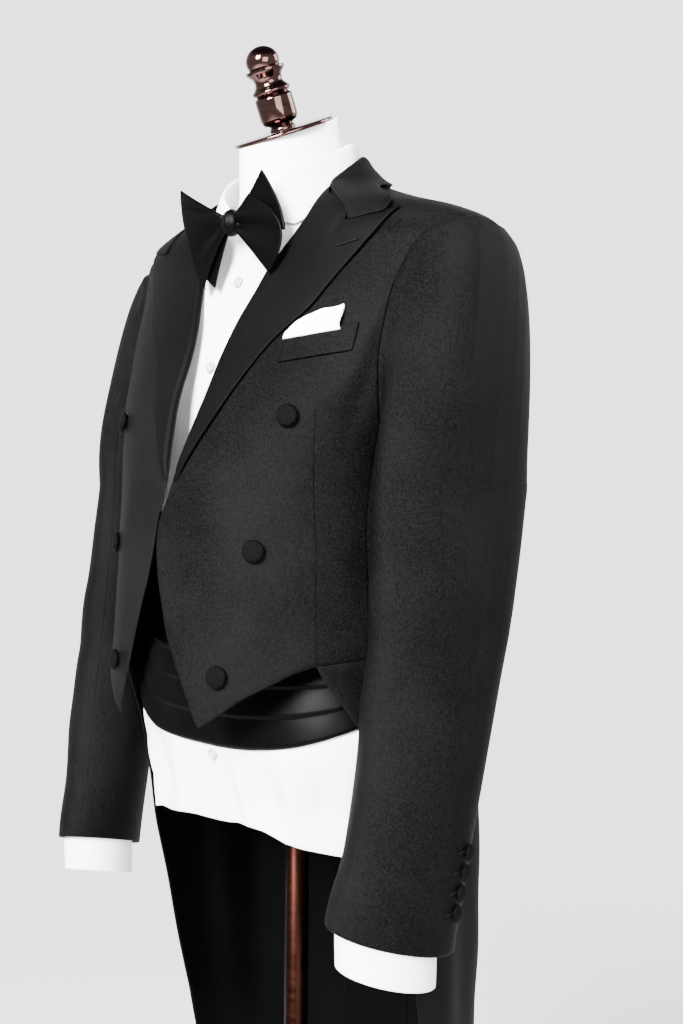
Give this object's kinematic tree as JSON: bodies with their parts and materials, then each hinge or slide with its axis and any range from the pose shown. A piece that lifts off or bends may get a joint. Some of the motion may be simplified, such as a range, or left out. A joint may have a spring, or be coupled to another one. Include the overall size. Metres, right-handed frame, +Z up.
{
  "type": "evening tailcoat outfit on a limbless dress form with stand",
  "caption": "Black evening tailcoat with peak lapels, worn over a white dress shirt, bow tie and cummerbund on a limbless dress form with a pole stand.",
  "frame": {"origin": "middle of the stand base's underside", "axes": "+Z up, the garment faces -Y, the wearer's left is +X"},
  "size_m": [0.538, 0.38, 1.6159],
  "materials": {
    "wool": "fine worsted, matte with a faint sheen",
    "faille": "matte ribbed silk",
    "satin": "satin",
    "poplin": "matte cotton poplin",
    "linen": "matte",
    "form_cover": "smooth stretched jersey",
    "rose_metal": "polished rose-tinted plating",
    "pearl": "polished"
  },
  "bodies": {
    "root": {"back_button_left": "faille", "back_button_right": "faille", "bow_back_left": "satin", "bow_back_right": "satin", "bow_front_left": "satin", "bow_front_right": "satin", "bow_knot": "satin", "breast_welt": "wool", "coat_back_left": "wool", "coat_back_right": "wool", "coat_collar": "wool", "coat_front_left": "wool", "coat_front_right": "wool", "coat_side_left": "wool", "coat_side_right": "wool", "coat_tail_left": "wool", "coat_tail_right": "wool", "cummerbund": "satin", "finial": "rose_metal", "front_button_1_left": "faille", "front_button_1_right": "faille", "front_button_2_left": "faille", "front_button_2_right": "faille", "front_button_3_left": "faille", "front_button_3_right": "faille", "lapel_left": "faille", "lapel_right": "faille", "neck_plate": "rose_metal", "pocket_square": "linen", "pole": "rose_metal", "shirt_back": "poplin", "shirt_button_1": "pearl", "shirt_button_2": "pearl", "shirt_button_3": "pearl", "shirt_collar_band": "poplin", "shirt_collar_leaf": "poplin", "shirt_cuff_left": "poplin", "shirt_cuff_right": "poplin", "shirt_front_left": "poplin", "shirt_front_right": "poplin", "shirt_placket": "poplin", "shirt_sleeve_end_left": "poplin", "shirt_sleeve_end_right": "poplin", "sleeve_button_1_left": "faille", "sleeve_button_1_right": "faille", "sleeve_button_2_left": "faille", "sleeve_button_2_right": "faille", "sleeve_button_3_left": "faille", "sleeve_button_3_right": "faille", "sleeve_button_4_left": "faille", "sleeve_button_4_right": "faille", "sleeve_top_left": "wool", "sleeve_top_right": "wool", "sleeve_under_left": "wool", "sleeve_under_right": "wool", "stand_base": "rose_metal", "torso_form": "form_cover"}
  },
  "joints": []
}
